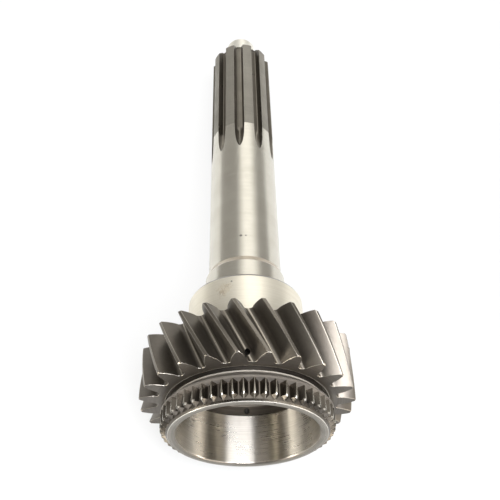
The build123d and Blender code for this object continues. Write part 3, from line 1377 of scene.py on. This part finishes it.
STEEL_FINISHES = (
    SteelFinish(Finish.POCKET_FLOOR, (0.133, 0.118, 0.099), (0.102, 0.091, 0.077),
                0.42, 0.03, Marks.RINGS, 0.9, 0.001, brushed=0.8),
    # Painted shade: the dark colour of the turned relief stands in for the shade in the undercuts, the
    # neck's groove and beside its mouth.
    SteelFinish(Finish.RELIEF, (0.153, 0.133, 0.108), (0.112, 0.099, 0.081),
                0.5, 0.05, Marks.ROUND, 0.7, 0.006, spots=(
                    # Painted shade: a black patch round the mouth of one oil hole darkens it like the
                    # shade inside the hole.
                    Spot(44.5, 180.6, 37.2, 2.4, BLACK, 0.9, 0.1),
                )),
    SteelFinish(Finish.POCKET, (0.72, 0.685, 0.618), (0.54, 0.506, 0.444),
                0.29, 0.022, Marks.ROUND, 0.4, 0.0004, brushed=1.0),
    # Painted shade: the turned end face's dark colour stands in for the shade in the table that it
    # reflects.
    SteelFinish(Finish.END_FACE, (0.235, 0.217, 0.187), (0.194, 0.179, 0.153),
                0.40, 0.05, Marks.RINGS, 0.45, 0.002, brushed=0.8),
    SteelFinish(Finish.END_RIM, (0.275, 0.256, 0.221), (0.230, 0.213, 0.183),
                0.32, 0.05, Marks.RINGS, 0.45, 0.002, brushed=0.6, spots=(
                    Spot(47.0, 18.6, 0.0, 0.7, BLACK, 0.9),
                )),
    # Painted highlight: the pale, half-metallic colour of the end face's edge stands in for the light that
    # the edge catches.
    SteelFinish(Finish.END_EDGE, (0.52, 0.50, 0.45), (0.42, 0.40, 0.36),
                0.35, 0.05, Marks.ROUND, 0.5, 0.001, metallic=0.4),
    SteelFinish(Finish.CLUTCH_POINT, (0.122, 0.108, 0.090), (0.082, 0.073, 0.061),
                0.36, 0.05, Marks.GRAIN, 0.8, 0.003),
    SteelFinish(Finish.CLUTCH_TOOTH, (0.133, 0.118, 0.099), (0.092, 0.082, 0.068),
                0.28, 0.05, Marks.ALONG, 0.6, 0.003),
    SteelFinish(Finish.CLUTCH_LAND, (0.388, 0.360, 0.306), (0.286, 0.264, 0.225),
                0.26, 0.05, Marks.ROUND, 0.6, 0.002),
    # Painted highlight: the clutch corner's pale colour stands in for the light spot caught on the rounded
    # corner.
    SteelFinish(Finish.CLUTCH_SPOT, (0.430, 0.408, 0.365), (0.378, 0.357, 0.316),
                0.13, 0.02, Marks.ROUND, 0.6, 0.0006),
    SteelFinish(Finish.CLUTCH_FLOOR, (0.245, 0.222, 0.189), (0.184, 0.163, 0.140),
                0.34, 0.05, Marks.ALONG, 0.6, 0.003),
    SteelFinish(Finish.NECK, (0.235, 0.210, 0.180), (0.178, 0.160, 0.137),
                0.42, 0.05, Marks.ROUND, 0.5, 0.003, metallic=0.6),
    # Painted highlight: the pale, half-metallic colour of the neck's edges stands in for the light that
    # these corners catch.
    SteelFinish(Finish.NECK_EDGE, (0.510, 0.473, 0.405), (0.428, 0.394, 0.338),
                0.38, 0.05, Marks.ROUND, 0.5, 0.001, metallic=0.4),
    SteelFinish(Finish.GROOVE, (0.224, 0.197, 0.167), (0.184, 0.163, 0.135),
                0.42, 0.05, Marks.ROUND, 0.6, 0.003),
    SteelFinish(Finish.GEAR_FACE, (0.122, 0.108, 0.090), (0.092, 0.081, 0.068),
                0.42, 0.05, Marks.RINGS, 0.5, 0.003, brushed=0.6, metallic=0.9),
    SteelFinish(Finish.GEAR_FLANK, (0.166, 0.148, 0.125), (0.148, 0.133, 0.111),
                0.42, 0.01, Marks.GRAIN, 3.0, 0.0005, blotch=40.0),
    # Painted highlight: the root's pale tan colour, with its low roughness, stands in for the bright strip
    # of light in each gap.
    SteelFinish(Finish.GEAR_ROOT, (0.46, 0.42, 0.35), (0.38, 0.345, 0.285),
                0.30, 0.02, Marks.GRAIN, 3.0, 0.0005),
    SteelFinish(Finish.GEAR_LAND, (0.224, 0.202, 0.171), (0.184, 0.165, 0.140),
                0.34, 0.03, Marks.ROUND, 0.5, 0.001),
    # Painted highlight: the lighter colour of the broken edges stands in for the bright lines of light on
    # the tooth ends.
    SteelFinish(Finish.GEAR_EDGE, (0.398, 0.366, 0.313), (0.316, 0.291, 0.248),
                0.38, 0.03, Marks.GRAIN, 3.0, 0.0005),
    SteelFinish(Finish.COLLAR, (0.740, 0.697, 0.584), (0.670, 0.627, 0.516),
                0.36, 0.04, Marks.ROUND, 0.55, 0.0008, brushed=0.5, metallic=0.85, spots=(
                    Spot(38.6, -22.4, 81.0, 2.2, BROWN, 0.5, 0.9),
                    Spot(38.6, -17.4, 84.8, 1.8, BROWN, 0.4, 0.9),
                    Spot(38.6, -19.6, 82.6, 5.2, (0.52, 0.44, 0.30), 0.35, 0.8),
                    Spot(38.6, -12.9, 87.8, 0.7, BLACK, 0.8),
                )),
    SteelFinish(Finish.SHOULDER, (0.30, 0.28, 0.255), (0.22, 0.205, 0.19),
                0.34, 0.05, Marks.RINGS, 0.5, 0.003),
    SteelFinish(Finish.STEP, (0.54, 0.475, 0.385), (0.48, 0.415, 0.33),
                0.34, 0.05, Marks.ROUND, 0.5, 0.002, brushed=0.5),
    SteelFinish(Finish.SHAFT, (0.670, 0.642, 0.565), (0.600, 0.572, 0.497),
                0.25, 0.010, Marks.ROUND, 0.45, 0.0001, brushed=0.65, spots=(
                    Spot(25.4, -5.2, 135.7, 1.0, BLACK, 0.8),
                    Spot(25.4, 2.5, 135.7, 0.8, BLACK, 0.7),
                )),
    SteelFinish(Finish.SPLINE_LAND, (0.189, 0.176, 0.145), (0.161, 0.149, 0.123),
                0.46, 0.05, Marks.ROUND, 0.6, 0.002, metallic=0.6),
    SteelFinish(Finish.SPLINE_SIDE, (0.162, 0.147, 0.122), (0.116, 0.105, 0.087),
                0.32, 0.05, Marks.ALONG, 0.7, 0.003),
    SteelFinish(Finish.SPLINE_FLOOR, (0.239, 0.219, 0.183), (0.175, 0.158, 0.130),
                0.34, 0.05, Marks.ALONG, 0.7, 0.003),
    SteelFinish(Finish.PILOT, (0.660, 0.637, 0.560), (0.580, 0.557, 0.482),
                0.36, 0.04, Marks.ROUND, 0.5, 0.0008, brushed=0.4, metallic=0.75),
    # Painted shade: near-black colour in the drilled holes stands in for the shade inside them.
    SteelFinish(Finish.OIL_HOLE, (0.05, 0.045, 0.04), (0.03, 0.028, 0.025),
                0.6, 0.05, Marks.GRAIN, 0.8, 0.002),
)


class InputShaft:
    """The whole shaft as one closed skin."""

    def __init__(self) -> None:
        """Makes the materials and the tree that repeats the sectors."""
        self.materials = {item.finish: item.material() for item in STEEL_FINISHES}
        self.tree = SectorTree(self.materials[Finish.SHAFT])

    def build(self) -> bpy.types.Object:
        """Puts the bands together and drills the oil holes.

        Returns:
            The finished piece.
        """
        makers = (BearingPocket(), ClutchRing(), HelicalGear(), BearingCollar(), ClutchSpline(), Pilot())
        bands = [maker.band() for maker in makers]
        shape = bmesh.new()
        for band in bands:
            mesh = self.tree.round_mesh(band)
            shape.from_mesh(mesh)
            log.info("%s: %d faces", band.name, len(mesh.polygons))
            bpy.data.meshes.remove(mesh)
        layer = shape.faces.layers.int["finish"]
        joined = (Finish.END_RIM, Finish.RELIEF, Finish.GEAR_FACE)
        for below, above, finish in zip(bands, bands[1:], joined):
            Join(below.ring(-1), above.ring(0), finish).add_to(shape, layer)
        bmesh.ops.remove_doubles(shape, verts=shape.verts, dist=WELD)
        for face in shape.faces:
            face.material_index = face[layer]
            face.smooth = True
        open_edges = sum(len(edge.link_faces) != 2 for edge in shape.edges)
        litres = shape.calc_volume(signed=True) * PER_METRE
        log.info("skin: %d faces, %d open edges, volume %.4f l", len(shape.faces), open_edges, litres)
        mesh = as_mesh(shape, "input_shaft_skin")
        for finish in FINISHES:
            mesh.materials.append(self.materials[finish])
        return self.finished(mesh)

    def finished(self, mesh: bpy.types.Mesh) -> bpy.types.Object:
        """Drills the skin and gives it its normals.

        Args:
            mesh: The closed skin.

        Returns:
            The piece, with no modifier left on it.
        """
        raw = placed("input_shaft_raw", mesh)
        drills = OilHoles().cutter()
        for finish in FINISHES:
            drills.data.materials.append(self.materials[finish])
        cut = raw.modifiers.new("oil_holes", "BOOLEAN")
        cut.operation = "DIFFERENCE"
        cut.solver = "EXACT"
        cut.object = drills
        bored = plain_mesh(raw, "input_shaft_bored")
        raw.modifiers.remove(cut)
        bpy.data.objects.remove(drills)
        raw.data = bored
        bored.shade_smooth()
        bored.set_sharp_from_angle(angle=math.radians(SHARP_ANGLE))
        even = raw.modifiers.new("even_normals", "WEIGHTED_NORMAL")
        even.keep_sharp = True
        final = plain_mesh(raw, "input_shaft_steel")
        raw.modifiers.remove(even)
        bpy.data.objects.remove(raw)
        log.info("input_shaft_steel: %d faces", len(final.polygons))
        return placed("input_shaft_steel", final)


@dataclass
class Table:
    """The pale table that the shaft lies on in the picture, behind it as it stands here."""

    gear_back: float = 55.6
    gear_radius: float = 66.5
    spline_top: float = 360.3
    spline_radius: float = 25.4
    gap: float = 0.6
    reach: float = 3.0
    paint: Colour = (0.505, 0.505, 0.488)
    near_share: float = 0.12
    near_end: float = -40.0
    far_share: float = 0.84
    far_end: float = 110.0
    glossy_share: float = 0.37
    camera_strength: float = 1.0

    def build(self) -> bpy.types.Object:
        """Builds the table as a plane that touches the gear and the spline's end.

        Returns:
            The table.
        """
        rise = self.spline_top - self.gear_back
        run = self.gear_radius - self.spline_radius
        along = Vector((0, -run, rise)).normalized()
        side = Vector((1, 0, 0))
        out = side.cross(along)
        foot = Vector((0, self.gear_radius, self.gear_back)) * MM - out * self.gap * MM
        signs = ((-1, -1), (1, -1), (1, 1), (-1, 1))
        corners = [foot + side * self.reach * a + along * self.reach * b for a, b in signs]
        mesh = bpy.data.meshes.new("table")
        mesh.from_pydata(corners, [], [(0, 1, 2, 3)])
        mesh.materials.append(self.material())
        return placed("table", mesh)

    def material(self) -> bpy.types.Material:
        """Builds a white that keeps the shadow and is clear from behind.

        Returns:
            The material.
        """
        made = bpy.data.materials.new("white_table")
        made.use_nodes = True
        made.node_tree.nodes.clear()
        net = Wiring(made.node_tree)
        paint = net.add("ShaderNodeBsdfDiffuse", {"Color": (*self.paint, 1)}).outputs[0]
        glow = net.add("ShaderNodeEmission", {"Strength": self.camera_strength}).outputs[0]
        path = net.add("ShaderNodeLightPath").outputs
        place = net.add("ShaderNodeTexCoord").outputs["Object"]
        height = net.add("ShaderNodeSeparateXYZ", {0: place}).outputs["Z"]
        ends = (self.near_end * MM, self.far_end * MM)
        fade = net.ramp(height, ends, (self.near_share, self.far_share))
        glossy = net.math("MULTIPLY", path["Is Glossy Ray"], self.glossy_share)
        front = net.mix(net.math("MULTIPLY_ADD", path["Is Camera Ray"], fade, glossy), paint, glow)
        clear = net.add("ShaderNodeBsdfTransparent").outputs[0]
        behind = net.add("ShaderNodeNewGeometry").outputs["Backfacing"]
        net.add("ShaderNodeOutputMaterial", {"Surface": net.mix(behind, front, clear)})
        return made


@dataclass(frozen=True)
class SoftCard:
    """A soft lit card of the studio, as a patch of the surroundings."""

    azimuth: float
    half_width: float
    softness: float
    strength: float
    colour: Colour = (1.0, 1.0, 1.0)
    low: float = -90.0
    high: float = 90.0
    fade: float = 20.0

    def light(self, net: Wiring, turn: Socket, height: Socket) -> Socket:
        """Adds the card's light to the surroundings.

        Args:
            net: The world's nodes.
            turn: Azimuth that is looked at.
            height: Elevation that is looked at.

        Returns:
            The light as a colour.
        """
        half = FULL_TURN / 2
        off = net.math("ABSOLUTE", net.math("WRAP", net.math("SUBTRACT", turn, self.azimuth), half, -half))
        sides = (self.half_width, self.half_width + self.softness)
        wide = net.ramp(off, sides, (1.0, 0.0), "SMOOTHSTEP")
        below = net.ramp(height, (self.low - self.fade, self.low), (0.0, 1.0), "SMOOTHSTEP")
        above = net.ramp(height, (self.high, self.high + self.fade), (1.0, 0.0), "SMOOTHSTEP")
        mask = net.math("MULTIPLY", net.math("MULTIPLY", wide, below), above)
        full = tuple(c * self.strength for c in self.colour)
        return net.add("ShaderNodeVectorMath", {0: full, "Scale": mask}, operation="SCALE").outputs[0]


STUDIO_CARDS = (
    SoftCard(0.0, 180.0, 1.0, 0.375, (1.0, 0.98, 0.94), low=2.0, fade=14.0),
    SoftCard(14.0, 7.0, 34.0, 1.0, (1.0, 0.99, 0.96), low=0.0),
    SoftCard(14.0, 23.0, 2.0, 4.0, (1.0, 0.97, 0.94), low=-14.0, high=-7.0, fade=3.0),
    SoftCard(13.5, 21.0, 1.2, 18.5, (0.95, 0.97, 1.04), low=-44.0, high=-19.0, fade=4.0),
    SoftCard(-23.0, 9.0, 4.0, 2.1, (1.0, 0.93, 0.90), low=-22.0, high=-10.0, fade=3.0),
    SoftCard(62.0, 18.0, 8.0, 5.0, (1.0, 0.98, 0.95), low=-64.0, high=-52.0, fade=3.0),
    SoftCard(90.0, 4.5, 2.0, 25.0, (1.0, 0.93, 0.84), low=-44.0, high=-22.0, fade=3.0),
    SoftCard(-83.0, 5.5, 2.0, 31.0, (1.0, 0.95, 0.86), low=-46.0, high=-28.0, fade=3.0),
    SoftCard(-44.0, 0.5, 1.0, 3.0, (0.85, 1.0, 0.6), low=-40.0, high=-22.0, fade=4.0),
    SoftCard(180.0, 60.0, 15.0, 0.48),
)


@dataclass
class Studio:
    """Surroundings of soft cards on a grey room, white where the camera sees them."""

    room: Colour = (0.045, 0.043, 0.041)
    cards: tuple[SoftCard, ...] = STUDIO_CARDS

    def build(self) -> None:
        """Builds the world."""
        world = bpy.data.worlds.new("soft_studio")
        bpy.context.scene.world = world
        world.use_nodes = True
        world.node_tree.nodes.clear()
        net = Wiring(world.node_tree)
        way = net.add("ShaderNodeTexCoord").outputs["Generated"]
        axes = net.add("ShaderNodeSeparateXYZ", {0: way}).outputs
        back = net.math("MULTIPLY", axes["Y"], -1.0)
        turn = net.math("DEGREES", net.math("ARCTAN2", axes["X"], back))
        height = net.math("DEGREES", net.math("ARCSINE", axes["Z"]))
        room = net.add("ShaderNodeRGB").outputs[0]
        room.default_value = (*self.room, 1)
        total, *others = [card.light(net, turn, height) for card in self.cards]
        for light in (*others, room):
            total = net.vector("ADD", total, light)
        dark = net.add("ShaderNodeBackground", {"Color": total}).outputs[0]
        white = net.add("ShaderNodeBackground", {"Color": (1, 1, 1, 1)}).outputs[0]
        seen = net.add("ShaderNodeLightPath").outputs["Is Camera Ray"]
        net.add("ShaderNodeOutputWorld", {"Surface": net.mix(seen, dark, white)})


@dataclass
class PhotoCamera:
    """The camera, low in front of the wide end and looking up along the shaft."""

    place: Point = (0.0, -0.3805, -0.1598)
    right: Point = (0.99972, 0.00535, -0.02010)
    down: Point = (-0.01906, 0.62231, -0.78250)
    forward: Point = (0.00832, 0.78268, 0.62232)
    focal_pixels: float = 665.14
    image_pixels: float = 500.0
    sensor: float = 36.0
    nearest: float = 0.01
    farthest: float = 20.0

    def build(self) -> bpy.types.Object:
        """Builds the camera and makes it the scene's.

        Returns:
            The camera.
        """
        data = bpy.data.cameras.new("camera")
        data.sensor_width = self.sensor
        data.lens = self.focal_pixels / self.image_pixels * self.sensor
        data.clip_start = self.nearest
        data.clip_end = self.farthest
        camera = placed("camera", data)
        columns = [Vector(self.right), -Vector(self.down), -Vector(self.forward)]
        turn = Matrix(columns).transposed().to_4x4()
        camera.matrix_world = Matrix.Translation(self.place) @ turn
        bpy.context.scene.camera = camera
        return camera


def main() -> None:
    """Loads the frame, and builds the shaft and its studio."""
    logging.basicConfig(level=logging.INFO, format="%(name)s: %(message)s")
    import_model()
    bpy.context.scene.view_settings.view_transform = "Standard"
    PhotoCamera().build()
    Studio().build()
    table = Table().build()
    shaft = InputShaft().build()
    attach(shaft, "root")
    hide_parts("input_shaft")


if __name__ == "__main__":
    main()
